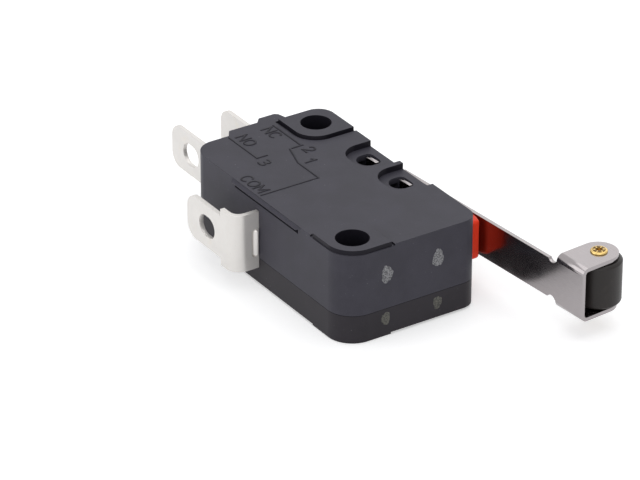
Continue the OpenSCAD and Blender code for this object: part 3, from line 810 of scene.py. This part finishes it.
@dataclass
class Housing:
    """Case and cover, with the gate scars of the free end."""

    bench: Bench
    finishes: Finishes
    edge: float = 0.12
    body_l: float = 27.8
    step_depth: float = 0.8
    split: float = 3.1
    scars: tuple[GateSpot, ...] = (
        GateSpot(5.0, 6.9, 0.64, 0.94), GateSpot(11.0, 6.9, 0.64, 0.94),
        GateSpot(4.9, 2.0, 0.5, 0.7), GateSpot(11.0, 1.9, 0.5, 0.7),
    )
    scar_sink: float = 0.03
    scar_rise: float = 0.004
    scar_rings: int = 7
    scar_steps: int = 40
    corner: Vector = field(default_factory=Vector)

    def shells(self) -> list[bpy.types.Object]:
        """Both mouldings with broken edges."""
        made = []
        for node, finish in (("case", self.finishes.case), ("cover", self.finishes.cover)):
            obj = self.bench.broken_edges(node, f"{node}_moulding", self.edge)
            self.bench.dress(obj, finish)
            if node == "case":
                self.polish_and_shade_steps(obj)
            self.darken_seam(obj)
            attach(obj, Body.HOUSING.value)
            made.append(obj)
        return made

    def polish_and_shade_steps(self, obj: bpy.types.Object) -> None:
        """Gives bores and the low walls of pads, rebates and pockets a smoother skin, coloured darker as
        painted shade in the bores and a painted dark reflection on the walls.

        Args:
            obj: The case moulding.
        """
        obj.data.materials.append(self.bench.material(self.finishes.step))
        low = self.plane() - self.step_depth * MM
        points = obj.data.vertices
        bores = [m for m in frame["record"]["mounts"] if m["kind"] == "bore"]
        for face in obj.data.polygons:
            foot = min(points[i].co.z for i in face.vertices)
            walls = foot > low and face.center.y > self.corner.y
            for bore in bores:
                reach = (face.center.xy - Vector(bore["pos_m"]).xy).length
                walls = walls or reach < (bore["dims"]["r_mm"] + self.edge / 3) * MM
            # these faces take the darker colour: painted shade in the bores, a painted dark reflection on
            # the low walls
            if abs(face.normal.z) < 0.5 and walls:
                face.material_index = 1

    def darken_seam(self, obj: bpy.types.Object) -> None:
        """Colours the edge break along the parting line near black: painted shadow of the gap between case
        and cover.

        Args:
            obj: A moulding.
        """
        obj.data.materials.append(self.bench.material(self.finishes.seam))
        line = self.split * MM
        for face in obj.data.polygons:
            if abs(face.center.z - line) < 1.1 * self.edge * MM and 0.1 < abs(face.normal.z) < 0.95:
                # parting-line faces take the painted shadow colour
                face.material_index = len(obj.data.materials) - 1

    def blister(self, index: int, spot: GateSpot, share: float, turn: float, proud: bool) -> tuple:
        """One point on the skin of a gate spot.

        Args:
            index: Number of the spot, which varies its outline.
            spot: Its place and size.
            share: Distance from its middle, as a share of the way to its rim.
            turn: Angle round its middle, in radians.
            proud: Whether the point is on the outer skin, or on the flat inner one.

        Returns:
            The point, in metres.
        """
        ragged = 1 + 0.09 * math.sin(3 * turn + index * 1.7) + 0.05 * math.sin(7 * turn + index)
        ragged += 0.03 * math.sin(11 * turn)
        y = spot.half_y * share * ragged * math.cos(turn)
        z = spot.half_z * share * ragged * math.sin(turn)
        torn = 0.012 * math.sin(9 * y + index) * math.cos(8 * z) + 0.016
        x = self.scar_rise + torn * (1 - share * share) if proud else -self.scar_sink
        return self.corner.x + (self.body_l + x) * MM, self.corner.y + (spot.y + y) * MM, (spot.z + z) * MM

    def scar(self, index: int, spot: GateSpot) -> bpy.types.Object:
        """One torn gate spot, a low rough blister on the end face.

        Args:
            index: Number of the spot.
            spot: Its place and size.

        Returns:
            The piece.
        """
        work = bmesh.new()
        skins = []
        for proud in (True, False):
            skin = []
            for i in range(self.scar_rings):
                share = 1 - i / (self.scar_rings - 1)
                turns = [2 * math.pi * k / self.scar_steps for k in range(self.scar_steps)]
                skin.append([work.verts.new(self.blister(index, spot, share, t, proud)) for t in turns])
            skins.append(skin)
        bands = [pair for skin in skins for pair in zip(skin, skin[1:])] + [(skins[0][0], skins[1][0])]
        for first, second in bands:
            for k in range(self.scar_steps):
                n = (k + 1) % self.scar_steps
                work.faces.new((first[k], first[n], second[n], second[k]))
        bmesh.ops.remove_doubles(work, verts=work.verts, dist=1e-8)
        bmesh.ops.recalc_face_normals(work, faces=work.faces)
        mesh = bpy.data.meshes.new(f"gate_scar_{index}")
        work.to_mesh(mesh)
        work.free()
        obj = self.bench.link(f"gate_scar_{index}", mesh)
        self.bench.smooth(obj, 60.0)
        self.bench.dress(obj, self.finishes.scar if spot.z > self.split else self.finishes.scar_low)
        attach(obj, Body.HOUSING.value)
        return obj

    def plane(self) -> float:
        """Height of the marked face: the level with the most upward-facing area on the case."""
        areas: dict[float, float] = {}
        mesh = frame["nodes"]["case"].data
        for face in mesh.polygons:
            if face.normal.z > 0.999:
                level = round(face.center.z, 6)
                areas[level] = areas.get(level, 0.0) + face.area
        return max(areas, key=areas.get)

    def build(self) -> list[bpy.types.Object]:
        """Builds the mouldings, their scars and their marks."""
        self.corner = Vector((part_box("case")[1].x - self.body_l * MM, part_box("cover")[0].y, 0))
        made = self.shells()
        made += [self.scar(i, spot) for i, spot in enumerate(self.scars, 1)]
        marks = Marks(self.bench, self.finishes, self.plane(), self.corner)
        made += marks.build()
        log.info("housing: %d pieces", len(made))
        return made


@dataclass
class RollerLever:
    """Folded lever, its roller and the crimped rivet."""

    bench: Bench
    finishes: Finishes
    edge: float = 0.06
    petals: int = 6
    ring_r: float = 0.47
    petal_r: float = 0.13
    seat_w: float = 0.36
    seat_h: float = 0.04
    crimp_inset: float = 0.005
    petal_form: tuple[float, float, float] = (1.25, 0.62, 0.5)

    def strip(self) -> bpy.types.Object:
        """The lever with its stamped edges broken."""
        obj = self.bench.broken_edges("lever", "lever_strip", self.edge)
        self.bench.dress(obj, self.finishes.lever)
        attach(obj, Body.LEVER.value)
        return obj

    def wheel(self) -> bpy.types.Object:
        """The roller with rounded rims."""
        obj = self.bench.broken_edges("roller", "roller_wheel", 0.08, 3)
        self.bench.dress(obj, self.finishes.roller)
        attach(obj, Body.ROLLER.value)
        return obj

    def crimp_tree(self) -> bpy.types.NodeTree:
        """Geometry tree that sets crimp petals evenly round the rivet's bore, over a thin dark ring of
        painted shade in the folds of the crimp.

        Returns:
            The tree.
        """
        inputs = {
            "Count": "Int", "Ring Radius": "Float", "Petal Radius": "Float", "Seat Width": "Float",
            "Seat Height": "Float", "Finish": "Material", "Crease Shade": "Material",
        }
        tree, start, end = named_tree("rivet_crimp", inputs)
        add, link = tree.nodes.new, tree.links.new
        ring = add("GeometryNodeMeshCircle")
        ball = add("GeometryNodeMeshUVSphere")
        ball.inputs["Segments"].default_value = 16
        ball.inputs["Rings"].default_value = 10
        flat = add("GeometryNodeTransform")
        flat.inputs["Scale"].default_value = self.petal_form
        put = add("GeometryNodeInstanceOnPoints")
        index, vector = add("GeometryNodeInputIndex"), add("ShaderNodeCombineXYZ")
        turn = add("ShaderNodeMath")
        step = add("ShaderNodeMath")
        step.operation, turn.operation = "DIVIDE", "MULTIPLY"
        step.inputs[0].default_value = 2 * math.pi
        solid, rounded = add("GeometryNodeRealizeInstances"), add("GeometryNodeSetShadeSmooth")
        seat, band = add("GeometryNodeCurvePrimitiveCircle"), add("GeometryNodeCurvePrimitiveQuadrilateral")
        sweep, both = add("GeometryNodeCurveToMesh"), add("GeometryNodeJoinGeometry")
        # the second material node gives the swept ring its painted-shade colour
        paint, tint = add("GeometryNodeSetMaterial"), add("GeometryNodeSetMaterial")
        link(start.outputs["Ring Radius"], seat.inputs["Radius"])
        link(start.outputs["Seat Width"], band.inputs["Width"])
        link(start.outputs["Seat Height"], band.inputs["Height"])
        link(seat.outputs["Curve"], sweep.inputs["Curve"])
        link(band.outputs["Curve"], sweep.inputs["Profile Curve"])
        link(sweep.outputs["Mesh"], tint.inputs["Geometry"])
        link(start.outputs["Crease Shade"], tint.inputs["Material"])
        link(start.outputs["Count"], ring.inputs["Vertices"])
        link(start.outputs["Ring Radius"], ring.inputs["Radius"])
        link(start.outputs["Petal Radius"], ball.inputs["Radius"])
        link(ball.outputs["Mesh"], flat.inputs["Geometry"])
        link(ring.outputs["Mesh"], put.inputs["Points"])
        link(flat.outputs["Geometry"], put.inputs["Instance"])
        link(start.outputs["Count"], step.inputs[1])
        link(index.outputs["Index"], turn.inputs[0])
        link(step.outputs["Value"], turn.inputs[1])
        link(turn.outputs["Value"], vector.inputs["Z"])
        link(vector.outputs["Vector"], put.inputs["Rotation"])
        link(put.outputs["Instances"], solid.inputs["Geometry"])
        link(solid.outputs["Geometry"], rounded.inputs["Geometry"])
        link(rounded.outputs["Geometry"], paint.inputs["Geometry"])
        link(start.outputs["Finish"], paint.inputs["Material"])
        for part in (paint, tint):
            link(part.outputs["Geometry"], both.inputs["Geometry"])
        link(both.outputs["Geometry"], end.inputs["Geometry"])
        return tree

    def crimp(self, tree: bpy.types.NodeTree, top: bool) -> bpy.types.Object:
        """Star crimp on one head of the rivet, over a thin dark ring of painted shade.

        Args:
            tree: The crimp tree.
            top: Whether it is the head on the marked side.

        Returns:
            The piece.
        """
        low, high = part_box("roller_rivet")
        name = "rivet_crimp_upper" if top else "rivet_crimp_lower"
        obj = self.bench.link(name, bpy.data.meshes.new(name))
        inset = self.crimp_inset * MM
        middle = (low + high) / 2
        obj.location = (middle.x, middle.y, high.z - inset if top else low.z + inset)
        made = self.bench.grow(obj, tree, {
            "Count": self.petals,
            "Ring Radius": self.ring_r * MM,
            "Petal Radius": self.petal_r * MM,
            "Seat Width": self.seat_w * MM,
            "Seat Height": self.seat_h * MM,
            "Finish": self.bench.material(self.finishes.rivet),
            "Crease Shade": self.bench.material(self.finishes.crease_shade),
        })
        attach(made, Body.LEVER.value)
        return made

    def rivet(self) -> bpy.types.Object:
        """The hollow rivet."""
        obj = self.bench.broken_edges("roller_rivet", "rivet_body", 0.05)
        self.bench.dress(obj, self.finishes.rivet)
        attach(obj, Body.LEVER.value)
        return obj

    def build(self) -> list[bpy.types.Object]:
        """Builds the lever's pieces."""
        tree = self.crimp_tree()
        made = [self.strip(), self.wheel(), self.rivet(), self.crimp(tree, True), self.crimp(tree, False)]
        log.info("roller lever: %d pieces", len(made))
        return made


@dataclass
class Terminals:
    """The three stamped terminals with rounded stamping edges."""

    bench: Bench
    finishes: Finishes
    edge: float = 0.09
    rib_r: float = 0.36
    rib_l: float = 3.08
    rib_drop: float = 0.3
    rib_rise: float = 0.1
    rib_gap: float = 0.03
    rib_slant: float = 0.75

    def rib(self) -> bpy.types.Object:
        """Rounded, slanting rib that fills the oval opening in the common terminal's leg."""
        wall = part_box("cover")[0].y
        outside = [v.co for v in frame["nodes"]["com_terminal"].data.vertices if v.co.y < wall]
        face = max(p.x for p in outside)
        middle = (max(p.z for p in outside) + min(p.z for p in outside)) / 2
        reach = (self.rib_l / 2 - self.rib_r) * MM
        place = Vector((
            face + (self.rib_rise - self.rib_r) * MM,
            wall - (self.rib_r + self.rib_gap) * MM,
            middle - self.rib_drop * MM,
        ))
        work = bmesh.new()
        bmesh.ops.create_uvsphere(work, u_segments=24, v_segments=16, radius=self.rib_r * MM)
        for v in work.verts:
            v.co.z += math.copysign(reach, v.co.z) if abs(v.co.z) > 1e-9 else 0.0
            v.co.x += self.rib_slant * v.co.y
            v.co += place
        mesh = bpy.data.meshes.new("com_terminal_rib")
        work.to_mesh(mesh)
        work.free()
        obj = self.bench.link("com_terminal_rib", mesh)
        self.bench.smooth(obj, 60.0)
        self.bench.dress(obj, self.finishes.tin)
        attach(obj, Body.HOUSING.value)
        return obj

    def build(self) -> list[bpy.types.Object]:
        """Builds the terminals."""
        made = [self.rib()]
        for node in ("com_terminal", "no_terminal", "nc_terminal"):
            obj = self.bench.broken_edges(node, f"{node}_plated", self.edge)
            self.bench.dress(obj, self.finishes.tin)
            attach(obj, Body.HOUSING.value)
            made.append(obj)
        log.info("terminals: %d pieces", len(made))
        return made


@dataclass
class Mechanism:
    """Plunger and the pieces inside the housing."""

    bench: Bench
    finishes: Finishes

    def plunger(self) -> bpy.types.Object:
        """The plunger with its moulded edges rounded."""
        obj = self.bench.broken_edges("plunger", "plunger_moulding", 0.3, 4)
        self.bench.dress(obj, self.finishes.plunger)
        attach(obj, Body.PLUNGER.value)
        return obj

    def build(self) -> list[bpy.types.Object]:
        """Builds the plunger and dresses the inner solids, which keep their own meshes."""
        made = [self.plunger()]
        look = self.finishes
        inner = {
            "no_contact": look.silver, "nc_contact": look.silver, "moving_contact": look.silver,
            "moving_arm": look.copper, "snap_spring": look.spring, "actuating_lever": look.steel,
        }
        for node, finish in inner.items():
            self.bench.dress(frame["nodes"][node], finish)
        log.info("mechanism: plunger and %d inner solids", len(inner))
        return made


@dataclass(frozen=True)
class Lamp:
    """Soft square lamp: its name, its place and side in metres, and its power in watts."""

    name: str
    place: tuple[float, float, float]
    watts: float
    side: float


@dataclass
class Studio:
    """Floor, lights and camera, with angles in degrees and the camera's lengths in millimetres."""

    azimuth: float = 56.7517
    elevation: float = 28.9640
    roll: float = 0.0870
    distance: float = 428.5851
    lens: float = 241.9585
    sensor: float = 36.0
    shift: tuple[float, float] = (1.3456, 1.5737)
    centre: tuple[float, float, float] = (-11.1, 5.15, 5.15)
    floor_half: float = 1.2
    floor_drop: float = 2e-5
    floor_glow: float = 0.42
    surround: float = 0.4
    lamps: tuple[Lamp, ...] = (
        Lamp("overhead", (-0.05, 0.1, 0.6), 1.6, 0.7),
        Lamp("left_front", (-0.2, -0.55, 0.3), 0.9, 0.5),
        Lamp("right_front", (0.5, -0.3, 0.3), 0.9, 0.5),
        Lamp("behind", (-0.3, 0.5, 0.25), 0.4, 0.5),
    )

    def axes(self) -> tuple[Vector, Vector, Vector]:
        """Right, up and back directions of the camera."""
        a, e, r = (math.radians(v) for v in (self.azimuth, self.elevation, self.roll))
        back = Vector((math.sin(a) * math.cos(e), -math.cos(a) * math.cos(e), math.sin(e)))
        right = (-back).cross(Vector((0, 0, 1))).normalized()
        up = right.cross(-back)
        return math.cos(r) * right + math.sin(r) * up, -math.sin(r) * right + math.cos(r) * up, back

    def camera(self) -> None:
        """Places the camera."""
        right, up, back = self.axes()
        data = bpy.data.cameras.new("view")
        data.sensor_width, data.lens = self.sensor, self.lens
        data.clip_start, data.clip_end = 0.01, 5.0
        cam = bpy.data.objects.new("view", data)
        bpy.context.scene.collection.objects.link(cam)
        spot = Vector(self.centre) - self.shift[0] * right - self.shift[1] * up + self.distance * back
        turn = Matrix((right, up, back)).transposed().to_4x4()
        cam.matrix_world = Matrix.Translation(spot * MM) @ turn
        bpy.context.scene.camera = cam

    def floor(self) -> None:
        """Pale floor under the part, white where the camera sees it unshaded."""
        mesh = bpy.data.meshes.new("floor")
        sides = ((-1, -1), (1, -1), (1, 1), (-1, 1))
        sheet = [(x * self.floor_half, y * self.floor_half, -self.floor_drop) for x, y in sides]
        mesh.from_pydata(sheet, [], [(0, 1, 2, 3)])
        obj = bpy.data.objects.new("floor", mesh)
        bpy.context.scene.collection.objects.link(obj)
        g = Graph("floor")
        paper = g.cloud(60.0, 2.0)
        colour = g.mixed(paper, (0.86, 0.86, 0.865), (0.9, 0.9, 0.9))
        rays = g.tree.nodes.new("ShaderNodeLightPath")
        seen = Wire(g, rays.outputs["Is Camera Ray"]) + Wire(g, rays.outputs["Is Glossy Ray"])
        seen = (seen + Wire(g, rays.outputs["Is Transmission Ray"])).held()
        plain = g.node("ShaderNodeBsdfDiffuse", {}, {"Color": colour})
        glow = g.node("ShaderNodeEmission", {}, {"Color": (1.0, 1.0, 1.0), "Strength": self.floor_glow})
        lit = g.node("ShaderNodeAddShader", {}, {0: plain, 1: glow})
        g.node_out(g.node("ShaderNodeMixShader", {}, {0: seen, 1: plain, 2: lit}))
        obj.data.materials.append(g.material)

    def world(self) -> None:
        """Soft surround, white where the camera sees it."""
        world = bpy.data.worlds.new("surround")
        bpy.context.scene.world = world
        world.use_nodes = True
        tree = world.node_tree
        tree.nodes.clear()
        out, mix = tree.nodes.new("ShaderNodeOutputWorld"), tree.nodes.new("ShaderNodeMixShader")
        soft, white = tree.nodes.new("ShaderNodeBackground"), tree.nodes.new("ShaderNodeBackground")
        soft.inputs["Color"].default_value = (0.97, 0.98, 1.0, 1)
        soft.inputs["Strength"].default_value = self.surround
        white.inputs["Strength"].default_value = 1.0
        white.inputs["Color"].default_value = (1, 1, 1, 1)
        rays = tree.nodes.new("ShaderNodeLightPath")
        seen = rays.outputs["Is Camera Ray"]
        for kind in ("Is Glossy Ray", "Is Transmission Ray"):
            either = tree.nodes.new("ShaderNodeMath")
            either.use_clamp = True
            tree.links.new(seen, either.inputs[0])
            tree.links.new(rays.outputs[kind], either.inputs[1])
            seen = either.outputs[0]
        tree.links.new(seen, mix.inputs[0])
        tree.links.new(soft.outputs[0], mix.inputs[1])
        tree.links.new(white.outputs[0], mix.inputs[2])
        tree.links.new(mix.outputs[0], out.inputs["Surface"])

    def light(self, lamp: Lamp) -> None:
        """Sets up one lamp, aimed at the part.

        Args:
            lamp: The lamp.
        """
        data = bpy.data.lights.new(lamp.name, "AREA")
        data.energy, data.size = lamp.watts, lamp.side
        obj = bpy.data.objects.new(lamp.name, data)
        bpy.context.scene.collection.objects.link(obj)
        obj.location = lamp.place
        obj.rotation_mode = "QUATERNION"
        obj.rotation_quaternion = (Vector(self.centre) * MM - Vector(lamp.place)).to_track_quat("-Z", "Y")

    def build(self) -> None:
        """Builds the studio."""
        bpy.context.scene.view_settings.view_transform = "Standard"
        self.floor()
        self.world()
        for lamp in self.lamps:
            self.light(lamp)
        self.camera()


def main() -> None:
    logging.basicConfig(level=logging.INFO, format="%(name)s: %(message)s")
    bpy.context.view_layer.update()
    bench, finishes = Bench(), Finishes()
    for assembly in (Housing, RollerLever, Terminals, Mechanism):
        for piece in assembly(bench, finishes).build():
            log.info("%s: %d faces", piece.name, len(piece.data.polygons))
    Studio().build()
    bpy.context.view_layer.update()


if __name__ == "__main__":
    main()
